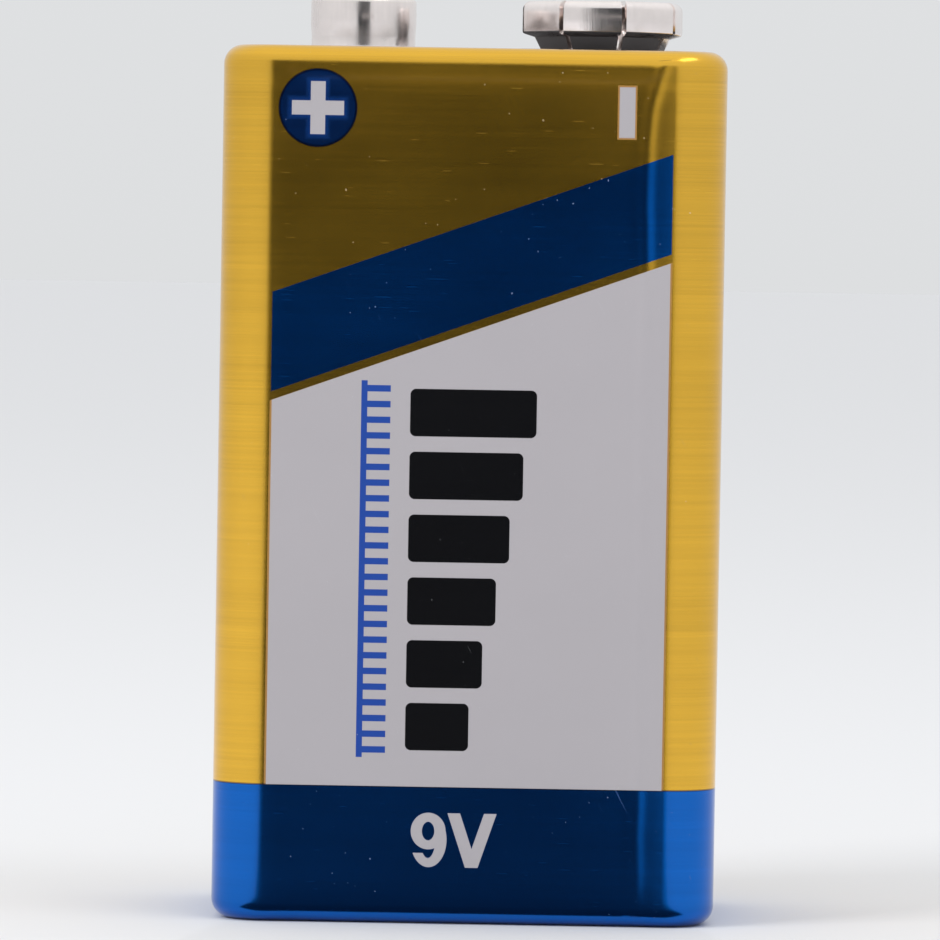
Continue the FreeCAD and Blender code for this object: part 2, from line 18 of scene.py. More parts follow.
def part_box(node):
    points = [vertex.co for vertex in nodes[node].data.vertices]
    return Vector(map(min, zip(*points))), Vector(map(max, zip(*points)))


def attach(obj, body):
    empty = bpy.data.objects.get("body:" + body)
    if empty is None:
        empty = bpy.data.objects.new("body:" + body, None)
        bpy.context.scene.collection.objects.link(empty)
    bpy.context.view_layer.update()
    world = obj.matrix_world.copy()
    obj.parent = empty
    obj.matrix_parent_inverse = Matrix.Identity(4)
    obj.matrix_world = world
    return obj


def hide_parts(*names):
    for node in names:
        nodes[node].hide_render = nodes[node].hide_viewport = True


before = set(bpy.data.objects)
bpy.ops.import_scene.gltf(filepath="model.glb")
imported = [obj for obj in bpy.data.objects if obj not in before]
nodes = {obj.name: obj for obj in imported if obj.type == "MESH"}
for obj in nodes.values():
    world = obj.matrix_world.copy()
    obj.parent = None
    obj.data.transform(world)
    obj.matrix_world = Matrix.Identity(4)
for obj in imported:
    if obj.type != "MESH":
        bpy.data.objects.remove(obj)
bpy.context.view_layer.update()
scene = bpy.context.scene
MM = 0.001
print("solids:", len(nodes))

# %% [markdown]
# ## Shader maths as Python
#
# A printed pattern is mostly arithmetic on the point that is being shaded: how far it is from a
# disc's rim, or above a stripe's edge. Wiring Math nodes by hand hides that. Here a Wire holds one
# output socket, and Python's own operators on it add the Math nodes.

# %% Wires


def find(sockets, key):
    """A socket by its place, its identifier or its name."""
    if isinstance(key, int):
        return sockets[key]
    return next(s for s in sockets if key in (s.identifier, s.name))


class Wire:
    """One output of a node. Sums, products and the like of wires add Math nodes."""

    def __init__(self, finish, socket):
        self.finish = finish
        self.socket = socket

    def maths(self, operation, *values, clamp=False):
        settings = {"operation": operation, "use_clamp": clamp}
        return self.finish.node("ShaderNodeMath", settings, dict(enumerate(values)))

    def __add__(self, other):
        return self.maths("ADD", self, other)

    def __sub__(self, other):
        return self.maths("SUBTRACT", self, other)

    def __rsub__(self, other):
        return self.maths("SUBTRACT", other, self)

    def __mul__(self, other):
        return self.maths("MULTIPLY", self, other)

    def __truediv__(self, other):
        return self.maths("DIVIDE", self, other)

    def __abs__(self):
        return self.maths("ABSOLUTE", self)

    def __pow__(self, power):
        return self.maths("POWER", self, power)

    __radd__ = __add__
    __rmul__ = __mul__

    def above(self, other):
        """The larger of the two: the union of two masks, the overlap of two distances."""
        return self.maths("MAXIMUM", self, other)

    def below(self, other):
        """The smaller of the two: the union of two distances."""
        return self.maths("MINIMUM", self, other)

    def clamped(self):
        return self.maths("ADD", self, 0.0, clamp=True)

    def floored(self):
        return self.maths("FLOOR", self)

    def exponential(self):
        return self.maths("EXPONENT", self)

    def wrapped(self, length):
        """The rest after whole lengths are taken off, from 0 to length."""
        return self.maths("WRAP", self, length, 0.0)


print("a wire's own words:", [name for name in vars(Wire) if not name.startswith("_")])

# %% [markdown]
# A Finish is one material. It starts with the Principled shader, and its `node` method adds any
# other node: the type first, then its settings, then the values or wires of its sockets. The point
# being shaded comes from Object coordinates. Every piece sits at the origin, so they are the
# battery's own coordinates, and a pattern continues over the corner from one face to the next.

# %% Finishes


class Finish:
    """A material, and the ways to add nodes to it."""

    def __init__(self, name, **constants):
        self.material = bpy.data.materials.new(name)
        self.material.use_nodes = True
        self.tree = self.material.node_tree
        self.tree.nodes.clear()
        self.shader = self.tree.nodes.new("ShaderNodeBsdfPrincipled")
        output = self.tree.nodes.new("ShaderNodeOutputMaterial")
        self.tree.links.new(self.shader.outputs["BSDF"], output.inputs["Surface"])
        for socket, value in constants.items():
            self.shader.inputs[socket.replace("_", " ")].default_value = value
        self.point = self.node("ShaderNodeTexCoord", output="Object")
        self.x, self.y, self.z = (
            self.node("ShaderNodeSeparateXYZ", {}, {0: self.point}, axis) / MM for axis in "XYZ"
        )

    def node(self, kind, settings=None, values=None, output=0):
        made = self.tree.nodes.new(kind)
        for name, value in (settings or {}).items():
            setattr(made, name, value)
        for key, value in (values or {}).items():
            self.plug(value, find(made.inputs, key))
        return Wire(self, find(made.outputs, output))

    def plug(self, value, socket):
        if isinstance(value, Wire):
            self.tree.links.new(value.socket, socket)
        else:
            socket.default_value = (*value, 1.0) if socket.type == "RGBA" else value

    def feed(self, **surface):
        """Send wires to the shader's own sockets."""
        for socket, value in surface.items():
            self.plug(value, self.shader.inputs[socket.replace("_", " ")])
        return self.material

    def blend(self, amount, first, second):
        """From the first colour to the second as amount goes from 0 to 1."""
        colours = {"Factor_Float": amount, "A_Color": first, "B_Color": second}
        return self.node("ShaderNodeMix", {"data_type": "RGBA"}, colours, "Result_Color")

    def shaded(self, colour, amount):
        """The colour made darker or lighter by a wire of about 1."""
        values = {0: colour, "Scale": amount}
        return self.node("ShaderNodeVectorMath", {"operation": "SCALE"}, values)

    def grain(self, per_mm, detail=2.0, roughness=0.5, seed=0.0, turned=0.0):
        """Cloudy noise from 0 to 1, with so many grains to a millimetre along each axis."""
        scale = tuple(count / MM for count in per_mm)
        leaning = {"Vector": self.point, "Rotation": (0, turned, 0)}
        point = self.node("ShaderNodeMapping", {}, leaning)
        placing = {"Vector": point, "Scale": scale, "Location": (seed,) * 3}
        point = self.node("ShaderNodeMapping", {}, placing)
        values = {"Vector": point, "Scale": 1.0, "Detail": detail, "Roughness": roughness}
        return self.node("ShaderNodeTexNoise", {}, values)

    def relief(self, height, depth_mm, under=None):
        """A bump: a height wire of 1 stands for so many millimetres."""
        values = {"Height": height, "Distance": depth_mm * MM, "Strength": 1.0}
        if under is not None:
            values["Normal"] = under
        return self.node("ShaderNodeBump", {}, values, "Normal")


print("what a finish can do:", [name for name in vars(Finish) if not name.startswith("_")])

# %% [markdown]
# ## Shapes for print
#
# Each shape is a distance: below zero inside and above zero outside, in millimetres. Uniting two
# shapes takes the smaller distance and overlapping them the larger. `ink` turns a distance into
# coverage, with an edge as soft as a real screen-printed one, about a fiftieth of a millimetre.

# %% Distances
INK_EDGE = 0.02


def ink(distance):
    """1 inside the shape and 0 outside."""
    return (0.5 - distance / INK_EDGE).clamped()


def rising(wire, low, high):
    """0 up to low, 1 from high on, and a straight ramp between them."""
    return ((wire - low) / (high - low)).clamped()


def hypotenuse(a, b):
    return (a * a + b * b) ** 0.5


def bar(a, b, half_a, half_b):
    """Distance to a bar about the middle of a and b."""
    return (abs(a) - half_a).above(abs(b) - half_b)


def rounded_bar(a, b, half_a, half_b, radius):
    across = (abs(a) - (half_a - radius)).above(0.0)
    along = (abs(b) - (half_b - radius)).above(0.0)
    return hypotenuse(across, along) - radius


def oval(a, b, half_a, half_b):
    return (hypotenuse(a / half_a, b / half_b) - 1.0) * min(half_a, half_b)


print("an ink's edge is soft over", INK_EDGE, "mm")

# %% [markdown]
# ## The printed jacket's finish
#
# The real jacket is tinned steel. Clear gold and blue inks let the metal shine through, so they
# are metals with a tinted colour, while white and black inks hide it and are not. A thin clear
# varnish lies over everything, and the shader's coat stands for it. The layout is a plain one made
# for this model: a blue band round the foot, a white panel under a slanting blue stripe, six black
# blocks for the six cells with a scale beside them, and the marks for plus and minus.
#
# A picture laid on the sheet would blur from close by. Masks worked out from the point itself stay
# sharp, follow the sheet over its corners, and move when one number is changed. Each mask is a
# wire from 0 to 1. The next cells draw them, in millimetres, starting with the largest.

# %% The band, the panel and the slanting stripe
tinplate = Finish("printed_tinplate", Coat_IOR=1.5, Coat_Roughness=0.06, Specular_IOR_Level=0.5)
x, y, z = tinplate.x, tinplate.y, tinplate.z
FRONT = -8.3
BAND_TOP = 7.2
PANEL_HALF = 10.38
PANEL_MIDDLE = 31.0
PANEL_SLANT = 0.36
PINSTRIPE = 0.45
STRIPE_HALF = 2.6

front, back = ink(y - FRONT), ink(-FRONT - y)
band, over_band = ink(z - BAND_TOP), ink(BAND_TOP - z)
across_front = front * ink(abs(x) - PANEL_HALF)
slant = PANEL_MIDDLE + x * PANEL_SLANT
under_slant = over_band * ink(z - slant)
panel = across_front * under_slant
stripe = across_front * ink(abs(z - slant - PINSTRIPE - STRIPE_HALF) - STRIPE_HALF)
print("the panel in mm:", PANEL_HALF * 2, "wide, from", BAND_TOP, "to", PANEL_MIDDLE, "up")

# %% [markdown]
# Six blocks would take six shapes, each moved by hand. `wrapped` folds the height into one block's
# share instead, so one rounded bar draws them all, and `floored` counts the blocks, which makes
# each a little wider than the one below it. The ticks of the scale repeat in the same way.

# %% Blocks and scale
BLOCKS = 6
BLOCK_FOOT = 8.7
BLOCK_PITCH = 3.28
BLOCK_HALF_HEIGHT = 1.24
BLOCK_CORNER = 0.3
BLOCK_LEFT = -3.1
LOWEST_HALF_WIDTH = 1.65
HALF_WIDTH_STEP = 0.33
TICK_PITCH = BLOCK_PITCH / 4
TICK_X, TICK_HALF_LENGTH, TICK_HALF_HEIGHT = -4.75, 0.62, 0.17
SPINE_X, SPINE_HALF_WIDTH = -5.5, 0.16

up = z - BLOCK_FOOT
half_stack = BLOCK_PITCH * BLOCKS / 2
in_stack = ink(abs(up - half_stack) - half_stack) * panel
half_width = (up / BLOCK_PITCH).floored() * HALF_WIDTH_STEP + LOWEST_HALF_WIDTH
from_middle = x - BLOCK_LEFT - half_width
up_block = up.wrapped(BLOCK_PITCH) - BLOCK_PITCH / 2
block = rounded_bar(from_middle, up_block, half_width, BLOCK_HALF_HEIGHT, BLOCK_CORNER)
blocks = ink(block) * in_stack
up_tick = abs(up.wrapped(TICK_PITCH) - TICK_PITCH / 2) - TICK_HALF_HEIGHT
ticks = ink(up_tick.above(abs(x - TICK_X) - TICK_HALF_LENGTH)) * in_stack
spine = ink(abs(x - SPINE_X) - SPINE_HALF_WIDTH) * in_stack
print("the blocks in mm:", BLOCK_FOOT, "to", round(BLOCK_FOOT + half_stack * 2, 2), "up")

# %% [markdown]
# The two marks stand under their terminals, on the front and on the back. The plus is two bars
# united, on a dark disc, with a faint lighter blue round it. The minus stands upright and has a
# thin amber rim, where the gold ink stops short of the white.

# %% Plus and minus
MARK_HEIGHT = 42.53
DISC_X = -8.16
DISC_RADIUS = 2.03
PLUS_LEVEL_HALF, PLUS_UPRIGHT_HALF = (1.36, 0.375), (0.385, 1.38)
GLOW_REACH, GLOW_AMOUNT = 0.3, 0.24
MINUS_X = 7.95
MINUS_HALF = (0.41, 1.32)
MINUS_RIM = 0.09

marked = front.above(back)
from_mark = z - MARK_HEIGHT
from_disc = x - DISC_X
disc_distance = hypotenuse(from_disc, from_mark) - DISC_RADIUS
disc = ink(disc_distance) * marked
arms = bar(from_disc, from_mark, *PLUS_LEVEL_HALF).below(
    bar(from_disc, from_mark, *PLUS_UPRIGHT_HALF)
)
plus = ink(arms) * marked
plus_glow = rising(0.0 - arms, -GLOW_REACH, 0.0) * disc * GLOW_AMOUNT
minus_distance = bar(x - MINUS_X, from_mark, *MINUS_HALF)
minus = ink(minus_distance) * marked
minus_rim = ink(minus_distance - MINUS_RIM) * marked
print("the marks in mm:", DISC_X, "and", MINUS_X, "across,", MARK_HEIGHT, "up")

# %% [markdown]
# Where two inks meet, a press lets them overlap a little, because a gap would show bare metal. The
# overlap is a thin line, amber along the white panel's sides and dark round the disc and on the
# band's upper edge.

# %% Lines where two inks meet
TRAP_HALF = 0.05
DISC_TRAP_IN, DISC_TRAP_HALF = 0.03, 0.07

side_trap = ink(abs(abs(x) - PANEL_HALF) - TRAP_HALF) * front * under_slant
band_trap = ink(abs(z - BAND_TOP) - TRAP_HALF)
disc_trap = ink(abs(disc_distance + DISC_TRAP_IN) - DISC_TRAP_HALF) * marked
dark_trap = band_trap.above(disc_trap)
print("the overlaps are", TRAP_HALF * 2, "mm wide")

# %% [markdown]
# The rating on the band is drawn from the same few shapes, because a text object can't be ink on a
# curved sheet. The nine is an oval bowl with a hole, and the lower right part of a larger oval
# ring for its tail. The V is two slanting strokes cut off by two level lines.

# %% Nine and V
RATING_HEIGHT = 4.42
NINE_X, V_X = -1.78, 0.47
DIGIT_HALF_HEIGHT = 1.42
BOWL_X, BOWL_Z = -0.03, 0.47
TAIL_END = 0.68
V_LEAN, V_FOOT_HALF, V_STROKE = 0.336, 0.33, 0.66


def rating_nine(x, z):
    """A plain nine. Every size is half of a width or of a height."""
    hole = ink(oval(x - BOWL_X, z - BOWL_Z, 0.32, 0.48))
    bowl = ink(oval(x - BOWL_X, z - BOWL_Z, 0.91, 0.96)) * (1 - hole)
    outer, inner = oval(x, z, 0.94, DIGIT_HALF_HEIGHT), oval(x - BOWL_X, z, 0.38, 0.94)
    ring = ink(outer) * (1 - ink(inner))
    kept = ink((0.0 - x).below(z + TAIL_END))
    return bowl.above(ring * kept) * (1 - hole)


def rating_v(x, z):
    """A plain V, worked out from how far a point lies outside its slanting sides."""
    outside = abs(x) - (z + DIGIT_HALF_HEIGHT) * V_LEAN - V_FOOT_HALF
    strokes = ink(outside) * (1 - ink(outside + V_STROKE))
    return strokes * ink(abs(z) - DIGIT_HALF_HEIGHT)


from_rating = z - RATING_HEIGHT
rating = rating_nine(x - NINE_X, from_rating).above(rating_v(x - V_X, from_rating)) * front
print("the rating is", DIGIT_HALF_HEIGHT * 2, "mm high")

# %% [markdown]
# The back of such a battery has a panel of small print. Here it is a plain panel ruled with thin
# lines, set to the side of the seam.

# %% A ruled panel on the back
BACK_X = -3.4
BACK_Z, BACK_HALF, BACK_CORNER = 24.5, (5.6, 12.0), 0.6
RULED_Z, RULED_HALF = 25.0, (4.6, 10.4)
RULE_FOOT, RULE_PITCH, RULE_HALF = 13.5, 1.9, 0.11

back_panel = back * ink(rounded_bar(x - BACK_X, z - BACK_Z, *BACK_HALF, BACK_CORNER))
rules = ink(abs((z - RULE_FOOT).wrapped(RULE_PITCH) - RULE_PITCH / 2) - RULE_HALF)
rules = rules * back * ink(bar(x - BACK_X, z - RULED_Z, *RULED_HALF))
print("the back panel in mm:", BACK_HALF[0] * 2, "by", BACK_HALF[1] * 2)

# %% [markdown]
# ### What handling and rolling leave
#
# The sheet was rolled, which leaves fine level lines that stretch highlights upwards. Noise
# squeezed along Z has that look, in a fine and a coarse form. Scratches, specks of dust and short
# slanting scuffs are the few highest places of other noises, and the scuffs come in clouds.

# %% Lines, scratches and dust
lines = tinplate.grain((0.07, 0.07, 16.0), detail=4.0, roughness=0.65)
coarse = tinplate.grain((0.02, 0.02, 3.2), detail=3.0, roughness=0.6, seed=3.7)
clouds = tinplate.grain((0.12, 0.12, 0.16), detail=3.0, seed=9.1)
scratches = rising(tinplate.grain((0.6, 0.6, 40.0), detail=1.0, seed=21.3), 0.75, 0.82)
specks = rising(tinplate.grain((6.0, 6.0, 6.0), detail=1.0, seed=5.2), 0.80, 0.83)
scuffs = rising(tinplate.grain((5.0, 5.0, 0.35), detail=2.0, turned=0.5, seed=8.8), 0.735, 0.80)
scuffs = scuffs * rising(clouds, 0.5, 0.62)
dust = specks.above(scuffs * 0.4)
print("nodes so far:", len(tinplate.tree.nodes))

# %% [markdown]
# ### Putting the inks down
#
# Colours go down in the order of a press: gold over everything, blue on it, then the opaque inks,
# and dust last. Each line of code blends one more ink over the colour so far by its mask.

# %% Colours
GOLD = (0.77, 0.445, 0.046)
BLUE = (0.0035, 0.124, 0.52)
NAVY = (0.014, 0.095, 0.42)
ROYAL = (0.004, 0.055, 0.35)
WHITE = (0.442, 0.418, 0.44)
BLACK = (0.004, 0.004, 0.005)
AMBER = (0.38, 0.19, 0.045)
DUST = (0.55, 0.56, 0.58)

colour = tinplate.blend(band.above(stripe), GOLD, BLUE)
colour = tinplate.blend(disc, colour, NAVY)
colour = tinplate.blend(plus_glow, colour, ROYAL)
colour = tinplate.blend(minus_rim.above(side_trap), colour, AMBER)
colour = tinplate.blend(dark_trap * 0.6, colour, BLACK)
colour = tinplate.shaded(colour, lines * 0.30 + coarse * 0.24 + clouds * 0.16 + 0.66)
opaque = panel.above(plus).above(minus).above(rating).above(back_panel)
paper = tinplate.shaded(WHITE, clouds * 0.05 + 0.975)
colour = tinplate.blend(opaque * (1 - side_trap), colour, paper)
colour = tinplate.blend(blocks, colour, BLACK)
colour = tinplate.blend(ticks.above(spine).above(rules), colour, ROYAL)
colour = tinplate.blend(dust * 0.45, colour, DUST)
print("nodes with the colours:", len(tinplate.tree.nodes))

# %% [markdown]
# ### Relief
#
# Near the right corner the flat front starts to turn, and a shallow flute there catches the light
# in one long streak, which leans outwards near the top. A bell curve about an upright line has
# that form. Past the flute the surface falls away on a ramp that starts smoothly, because a jump
# in a bump's height would draw a dark line. The rolled lines and the scratches lie on top of it.

# %% The flute, the lines and the scratches
FLUTE_X = 9.0
FLUTE_HALF = 0.40
FLUTE_WAVER = 0.4
LEAN_FOOT, LEAN_HEIGHT, LEAN_REACH = 40.5, 4.0, 0.6
FALL_START, FALL_SOFTNESS = 0.55, 0.3

lean = ((z - LEAN_FOOT) / LEAN_HEIGHT).above(0.0)
off_flute = x - FLUTE_X - lean * lean * LEAN_REACH - (clouds - 0.5) * FLUTE_WAVER
flute = (0.0 - (off_flute / FLUTE_HALF) ** 2).exponential() * front
past_flute = off_flute - FALL_START
falling = (past_flute + hypotenuse(past_flute, FALL_SOFTNESS)) / 2
relief = tinplate.relief(flute * 0.85 - falling, 0.05)
relief = tinplate.relief(lines * 0.5 + coarse * 0.5, 0.0012, under=relief)
relief = tinplate.relief(1 - scratches, 0.0008, under=relief)
print("the flute is", FLUTE_X, "mm from the middle")

# %% [markdown]
# The masks of the opaque inks also say where the metal is hidden. There the surface is no metal
# and a little rougher, but for the black blocks, whose ink dries smoother than the white.

# %% The finished tinplate
hidden_metal = opaque.above(minus_rim).above(plus_glow).above(side_trap).above(dust * 0.7)
matt = (hidden_metal - blocks * 1.3).above(-0.2)
printed_tinplate = tinplate.feed(
    Base_Color=colour,
    Metallic=1 - hidden_metal,
    Roughness=lines * 0.06 + clouds * 0.08 + scratches * 0.08 + matt * 0.16 + 0.15,
    Coat_Weight=matt * 0.1 - blocks * 0.15 + 0.25,
    Normal=relief,
)
print("nodes in the print:", len(printed_tinplate.node_tree.nodes))

# %% [markdown]
# ## The other finishes
#
# Nickel plate is bright but never perfect: drawing the sheet leaves fine upright lines, and
# fingers and contacts leave cloudy smudges that make it rougher and a trace darker. One function
# makes all the plated metals, since they differ in colour, roughness and the way that their lines
# run.

# %% Nickel plate


def make_nickel(name, colour, rough, line_scale):
    f = Finish(name, Metallic=1.0)
    lines = f.grain(line_scale, detail=3.0, roughness=0.6)
    smudges = rising(f.grain((0.5, 0.5, 0.5), detail=3.0, seed=4.0), 0.42, 0.72)
    return f.feed(
        Base_Color=f.shaded(colour, lines * 0.10 + 0.95 - smudges * 0.10),
        Roughness=lines * 0.08 + smudges * 0.16 + rough,
        Normal=f.relief(lines, 0.002),
    )


terminal_nickel = make_nickel("drawn_nickel_plate", (0.91, 0.84, 0.815), 0.10, (9.0, 9.0, 0.6))
rivet_nickel = make_nickel("rivet_plate", (0.76, 0.72, 0.69), 0.18, (3.0, 3.0, 3.0))
strip_nickel = make_nickel("rolled_nickel_strip", (0.60, 0.59, 0.56), 0.24, (1.0, 9.0, 1.0))
cell_steel = make_nickel("plated_cell_steel", (0.58, 0.58, 0.58), 0.22, (2.0, 2.0, 12.0))
bare_tin = make_nickel("bare_tinplate", (0.66, 0.65, 0.63), 0.26, (0.4, 0.4, 14.0))
print("finishes so far:", len(bpy.data.materials))

# %% [markdown]
# The board and the base plate are black moulded plastic. A mould's surface is spark-eroded, so the
# plastic has an even fine grain and a dull sheen, with faint flow marks and some dust. Card,
# liner, nylon and sleeve film are made in the same way: a grain of their own size, and soft
# clouds.

# %% Moulded plastics and sheets


def make_matter(name, colour, rough, grains, depth_mm, variation=0.10, **constants):
    f = Finish(name, **constants)
    grain = f.grain(grains, detail=3.0, roughness=0.6)
    clouds = f.grain((0.25, 0.25, 0.25), detail=2.0, seed=2.0)
    shade = clouds * variation * 2 + grain * variation + 1 - variation * 1.5
    return f.feed(
        Base_Color=f.shaded(colour, shade),
        Roughness=grain * 0.14 + rough - 0.07,
        Normal=f.relief(grain, depth_mm),
    )


black_moulding = make_matter(
    "black_moulding", (0.018, 0.018, 0.020), 0.52, (9.0, 9.0, 9.0), 0.012, variation=0.2
)
pressed_card = make_matter("pressed_card", (0.46, 0.34, 0.21), 0.85, (6.0, 1.8, 6.0), 0.02)
liner_paper = make_matter("liner_paper", (0.78, 0.76, 0.70), 0.75, (4.0, 4.0, 1.2), 0.01)
natural_nylon = make_matter("natural_nylon", (0.74, 0.71, 0.60), 0.45, (5.0, 5.0, 5.0), 0.006)
sleeve_film = make_matter(
    "shrunk_sleeve_film", (0.03, 0.16, 0.09), 0.25, (0.6, 0.6, 3.0), 0.010, Coat_Weight=0.3
)
print("finishes in all:", len(bpy.data.materials))

# %% [markdown]
# ## Dress the solids that stay
#
# Most pieces keep the solid model's own shape and only need their finish. The inner ones can't be
# seen while the jacket is closed, and still get the right one, because the part may be taken
# apart. Each name is looked up by the first word of this table that it holds.

# %% Give each solid its finish
FINISHES = {
    "base_plate": black_moulding,
    "terminal_board": black_moulding,
    "insulator": pressed_card,
    "cell_liner": liner_paper,
    "link": strip_nickel,
    "lead": strip_nickel,
    "rivet": rivet_nickel,
    "can": cell_steel,
    "cap": cell_steel,
    "seal": natural_nylon,
    "sleeve": sleeve_film,
    "outer_jacket": printed_tinplate,
    "positive_stud": terminal_nickel,
    "negative_socket": terminal_nickel,
}


def wear(piece, *materials):
    piece.data.materials.clear()
    for material in materials:
        piece.data.materials.append(material)


for name, node in nodes.items():
    wear(node, next(material for part, material in FINISHES.items() if part in name))
print("dressed:", len(nodes))

# %% [markdown]
# ## The jacket
#
# On the real battery one sheet is folded round the cells, hooked together behind, and both ends
# are rolled in over the plates. A block with its upright edges bevelled round, then its two rims
# bevelled tighter, has exactly those bends. Taking the ends away leaves a skin, and a Solidify
# modifier gives it the sheet's thickness inwards, so the outside stays where the solid model has
# it.

# %% A block with rolled edges
WIDTH, DEPTH, HEIGHT = (high - low for low, high in zip(*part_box("outer_jacket")))
CORNER_ROUND = 2.8 * MM
CORNER_STEPS = 14
RIM_BEND = 1.0 * MM
RIM_STEPS = 8
TINY = 1e-6


def level_at(edge, z):
    return all(abs(v.co.z - z) < TINY for v in edge.verts)


def bevel(bm, edges, radius, segments):
    bmesh.ops.bevel(
        bm, geom=edges, offset=radius, offset_type="OFFSET", segments=segments, profile=0.5,
        affect="EDGES", material=-1, clamp_overlap=True,
    )


jacket_mesh = bmesh.new()
whole = Matrix.Translation((0, 0, HEIGHT / 2)) @ Matrix.Diagonal((WIDTH, DEPTH, HEIGHT, 1))
bmesh.ops.create_cube(jacket_mesh, size=1.0, matrix=whole)
upright = [e for e in jacket_mesh.edges if abs(e.verts[0].co.z - e.verts[1].co.z) > HEIGHT / 2]
bevel(jacket_mesh, upright, CORNER_ROUND, CORNER_STEPS)
rims = [e for e in jacket_mesh.edges if level_at(e, 0) or level_at(e, HEIGHT)]
bevel(jacket_mesh, rims, RIM_BEND, RIM_STEPS)
print("faces after the bends:", len(jacket_mesh.faces))

# %% [markdown]
# The ends are inset by what is left of the turned-in lip, and the middle is taken out. Then the
# long edges are divided, so that the flats have enough points to be a little uneven, with some
# level rows closer together beside the bends, where the sheet's form changes fastest.

# %% Open the ends and divide the flats
RIM_REACH = 1.8 * MM
END_AREA = 1e-4
FLAT_CUTS = ((0, 15 * MM, 25), (1, 8 * MM, 13), (2, 20 * MM, 43))
ROWS_BY_A_BEND = (0.3 * MM, 0.65 * MM, 1.5 * MM)

ends = [f for f in jacket_mesh.faces if abs(f.normal.z) > 0.999 and f.calc_area() > END_AREA]
lip = RIM_REACH - RIM_BEND
bmesh.ops.inset_region(jacket_mesh, faces=ends, thickness=lip, use_even_offset=True)
bmesh.ops.delete(jacket_mesh, geom=ends, context="FACES_ONLY")


def runs_along(edge, axis, length):
    return abs(edge.verts[0].co[axis] - edge.verts[1].co[axis]) > length


def everything(bm):
    return bm.verts[:] + bm.edges[:] + bm.faces[:]


for axis, length, cuts in FLAT_CUTS:
    long_edges = [e for e in jacket_mesh.edges if runs_along(e, axis, length)]
    bmesh.ops.subdivide_edges(jacket_mesh, edges=long_edges, cuts=cuts, use_grid_fill=True)
for away in ROWS_BY_A_BEND:
    for height in (RIM_BEND + away, HEIGHT - RIM_BEND - away):
        bmesh.ops.bisect_plane(
            jacket_mesh, geom=everything(jacket_mesh), dist=TINY,
            plane_co=(0, 0, height), plane_no=(0, 0, 1),
        )
print("faces of the skin:", len(jacket_mesh.faces))

# %% [markdown]
# ### The lock seam
#
# Behind, the two ends of the sheet hook into each other. From outside that is a fine upright
# groove. Cutting the back faces by upright planes gives lines of points beside each other, and the
# middle line is pressed in. One more line marks the far side of the hooked layers.

# %% Press the groove
SEAM_GROOVE = 3.1375 * MM
GROOVE_DEPTH = 0.1 * MM
SEAM_LINES = (-0.12 * MM, 0.0, 0.12 * MM, 2.4 * MM)
for offset in SEAM_LINES:
    behind = [f for f in jacket_mesh.faces if f.calc_center_median().y > DEPTH / 2 - RIM_BEND]
    parts = set(behind)
    for face in behind:
        parts.update(face.edges, face.verts)
    bmesh.ops.bisect_plane(
        jacket_mesh, geom=list(parts), dist=TINY, plane_no=(1, 0, 0),
        plane_co=(SEAM_GROOVE + offset, 0, 0),
    )
pressed = 0
for vert in jacket_mesh.verts:
    on_back = abs(vert.co.y - DEPTH / 2) < TINY and RIM_BEND < vert.co.z < HEIGHT - RIM_BEND
    if on_back and abs(vert.co.x - SEAM_GROOVE) < 0.01 * MM:
        vert.co.y -= GROOVE_DEPTH
        pressed += 1
print("points pressed in:", pressed)

# %% [markdown]
# ### A sheet is never quite flat
#
# Thin steel over six round cells is uneven by a few hundredths of a millimetre, which is what
# makes its reflections waver. The points of the flats move inwards only, by smooth noise that
# fades out towards the bends. Beside each bend the flat falls in a little more, as a rolled rim
# pulls it.

# %% Make the flats uneven
UNEVEN = 0.035 * MM
WAVE_LENGTH = 7 * MM
WAVE_FADE = 3 * MM
SHOULDER = 0.065 * MM
SHOULDER_HEIGHT = 1.2 * MM
CORNER_FADE = 1.5 * MM
SKIN = 0.15 * MM


def fade(distance, length):
    """0 up to no distance, 1 from length on."""
    return max(0.0, min(1.0, distance / length))


for vert in jacket_mesh.verts:
    x, y, z = vert.co
    from_bend = min(z, HEIGHT - z) - RIM_BEND
    on_rim = from_bend < -TINY
    shoulder = SHOULDER * (1 - fade(from_bend, SHOULDER_HEIGHT)) ** 2
    wave = noise.noise(Vector((x, y * 3, z)) / WAVE_LENGTH) * 0.5 + 0.5
    inwards = shoulder + UNEVEN * wave * fade(from_bend, WAVE_FADE)
    flats = ((1, DEPTH / 2, x, WIDTH / 2), (0, WIDTH / 2, y, DEPTH / 2))
    for axis, half, other, other_half in flats:
        if half - abs(vert.co[axis]) < (RIM_REACH + TINY if on_rim else SKIN):
            side_fade = fade(other_half - CORNER_ROUND - abs(other), CORNER_FADE)
            vert.co[axis] -= math.copysign(inwards * side_fade, vert.co[axis])
print("the flats move inwards by up to", round((SHOULDER + UNEVEN) / MM, 3), "mm")

# %% [markdown]
# Now the mesh becomes a piece. It is shaded smooth, and stays sharp only where faces meet at more
# than 24 degrees and along the cut edges of the lips, where the Solidify modifier turns the
# corner. The inside of the sheet and its cut edge are bare tin, the second material.

# %% Make the piece
SHARP_ANGLE = math.radians(24)
SHEET = 0.25 * MM


def piece_from(bm, name, *materials):
    """An object at the origin from a finished bmesh, smooth but for its sharp edges."""
    mesh = bpy.data.meshes.new(name)
    bm.to_mesh(mesh)
    bm.free()
    piece = bpy.data.objects.new(name, mesh)
    scene.collection.objects.link(piece)
    wear(piece, *materials)
    mesh.shade_smooth()
    mesh.set_sharp_from_angle(angle=SHARP_ANGLE)
    print(name, "faces:", len(mesh.polygons))
    return piece


def thicken(piece, thickness):
    """Give a skin the thickness of its sheet, inwards."""
    sheet = piece.modifiers.new("sheet_thickness", "SOLIDIFY")
    sheet.thickness = thickness
    sheet.offset = -1
    sheet.use_even_offset = True
    return sheet


